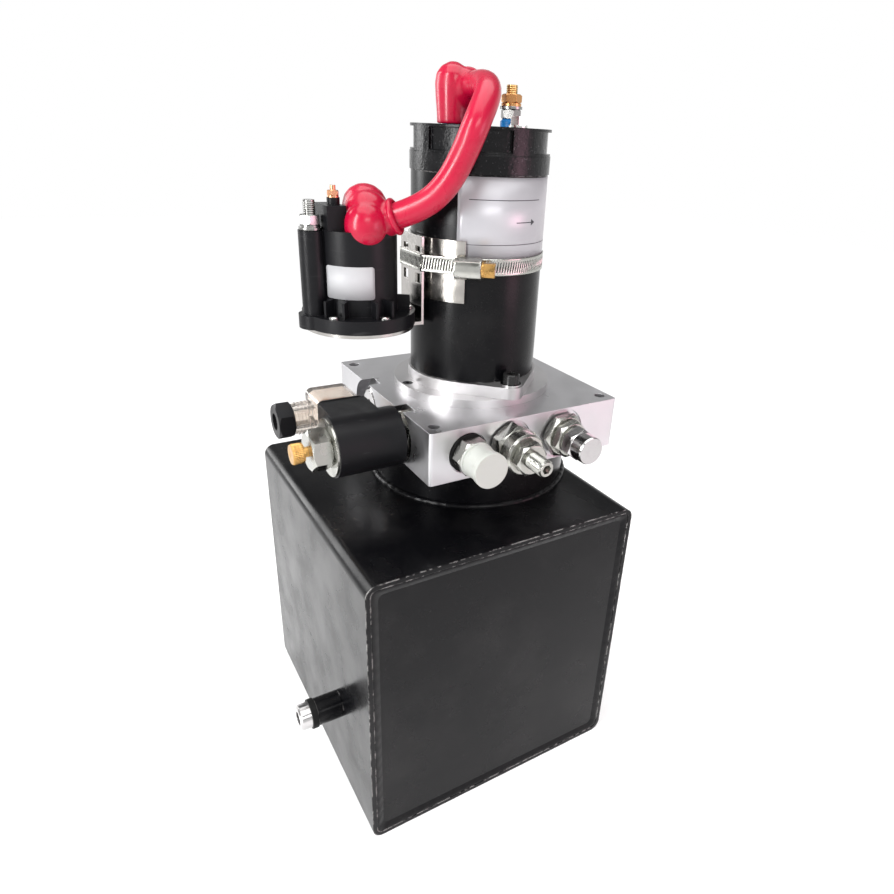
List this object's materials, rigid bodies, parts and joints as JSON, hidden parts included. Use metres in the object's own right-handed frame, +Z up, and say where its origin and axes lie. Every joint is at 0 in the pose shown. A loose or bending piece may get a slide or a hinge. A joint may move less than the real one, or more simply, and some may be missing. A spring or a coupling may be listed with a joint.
{
  "type": "hydraulic power unit",
  "caption": "Compact hydraulic power unit: square steel tank, aluminium manifold block, upright DC motor, solenoid valve, starter contactor and red jumper lead.",
  "frame": {"origin": "centre of the tank's base", "axes": "+Z up along the motor axis, +X right along the tank front, -Y out of the face with the three hydraulic fittings"},
  "size_m": [0.2145, 0.1946, 0.434],
  "materials": {
    "black_paint": "glossy black paint",
    "machined_aluminium": "face-milled, fine cutter marks",
    "zinc_steel": "bright zinc plate",
    "bright_steel": "turned and polished",
    "yellow_zinc": "yellow zinc and brass",
    "copper": "copper",
    "black_plastic": "moulded, satin",
    "clear_plastic": "smoky clear moulding",
    "natural_plastic": "translucent natural polyethylene",
    "blue_plastic": "blue insulating moulding",
    "red_rubber": "glossy red PVC",
    "black_rubber": "black seal rubber",
    "label": "bare silver-white label",
    "ferrite": "sintered ferrite",
    "core_steel": "laminated steel",
    "cast_aluminium": "as extruded"
  },
  "bodies": {
    "unit": {"adaptor_ring": "machined_aluminium", "block_screws": "black_plastic", "breather": "black_plastic", "brush_gear": "copper", "cable_boots": "red_rubber", "clamp_band": "zinc_steel", "coil_nut": "zinc_steel", "connector_core": "copper", "connector_gasket": "black_rubber", "connector_housing": "clear_plastic", "contactor_base": "zinc_steel", "contactor_case": "black_plastic", "contactor_coil": "copper", "contactor_rivets": "yellow_zinc", "field_magnets": "ferrite", "flow_valve_body": "zinc_steel", "gland_nut": "black_plastic", "hex_plugs": "bright_steel", "jumper_lead": "red_rubber", "lock_nuts": "zinc_steel", "manifold_block": "machined_aluminium", "motor_bolts": "zinc_steel", "motor_end_cap": "black_paint", "motor_flange": "machined_aluminium", "motor_saddle": "zinc_steel", "motor_tube": "black_paint", "name_plates": "label", "port_fitting": "zinc_steel", "pump_body": "cast_aluminium", "pump_cover": "cast_aluminium", "pump_front": "cast_aluminium", "pump_pipes": "zinc_steel", "relief_body": "zinc_steel", "relief_spring": "bright_steel", "seal_rings": "black_rubber", "shaft_bearings": "bright_steel", "solenoid_coil": "black_plastic", "suction_strainer": "natural_plastic", "tank_bosses": "black_paint", "tank_end_plates": "black_paint", "tank_welds": "black_paint", "tank_wrap": "black_paint", "terminal_insulators": "blue_plastic", "terminal_nuts": "yellow_zinc", "terminal_studs": "yellow_zinc", "valve_body": "zinc_steel"},
    "rotor": {"motor_shaft": "bright_steel", "armature_core": "core_steel", "armature_copper": "copper", "shaft_coupling": "core_steel", "drive_gear": "core_steel"},
    "driven_gear_set": {"driven_gear": "core_steel"},
    "override": {"override_knob": "yellow_zinc", "valve_plunger": "bright_steel"},
    "flow_adjuster": {"flow_screw": "zinc_steel"},
    "relief_adjuster": {"relief_cap": "bright_steel"},
    "poppet": {"relief_poppet": "bright_steel"},
    "transport_cap": {"port_cap": "natural_plastic"},
    "contactor_mover": {"contactor_plunger": "copper"},
    "band_screw": {"clamp_screw": "yellow_zinc"}
  },
  "joints": [
    {"name": "motor_spin", "type": "hinge", "parent": "unit", "child": "rotor", "pos_m": [0.0295, 0.01, 0.3], "axis": [0, 0, 1], "continuous": true},
    {"name": "gear_spin", "type": "hinge", "parent": "unit", "child": "driven_gear_set", "pos_m": [0.0295, 0.032, 0.18], "axis": [0, 0, 1], "continuous": true},
    {"name": "override_press", "type": "slide", "parent": "unit", "child": "override", "axis": [1, 0, 0], "range_m": [0, 0.0023], "stiffness_N_per_m": 300},
    {"name": "flow_adjust", "type": "hinge", "parent": "unit", "child": "flow_adjuster", "pos_m": [0.0176, -0.07, 0.23325], "axis": [0, -1, 0], "range_deg": [-450, 450]},
    {"name": "relief_adjust", "type": "hinge", "parent": "unit", "child": "relief_adjuster", "pos_m": [0.0554, -0.07, 0.23325], "axis": [0, -1, 0], "range_deg": [-390, 390]},
    {"name": "relief_lift", "type": "slide", "parent": "unit", "child": "poppet", "axis": [0, -1, 0], "range_m": [0, 0.0008], "stiffness_N_per_m": 200, "deforming": ["relief_spring"]},
    {"name": "cap_pull", "type": "slide", "parent": "unit", "child": "transport_cap", "axis": [0, -1, 0], "range_m": [0, 0.014]},
    {"name": "contactor_close", "type": "slide", "parent": "unit", "child": "contactor_mover", "axis": [0, 0, 1], "range_m": [0, 0.0028], "stiffness_N_per_m": 200},
    {"name": "clamp_tighten", "type": "hinge", "parent": "unit", "child": "band_screw", "pos_m": [0.00179, -0.02814, 0.33075], "axis": [0.809, -0.5878, 0], "range_deg": [-720, 720]}
  ],
  "couplings": [
    {"joint": "gear_spin", "follows": "motor_spin", "ratio": -1}
  ]
}
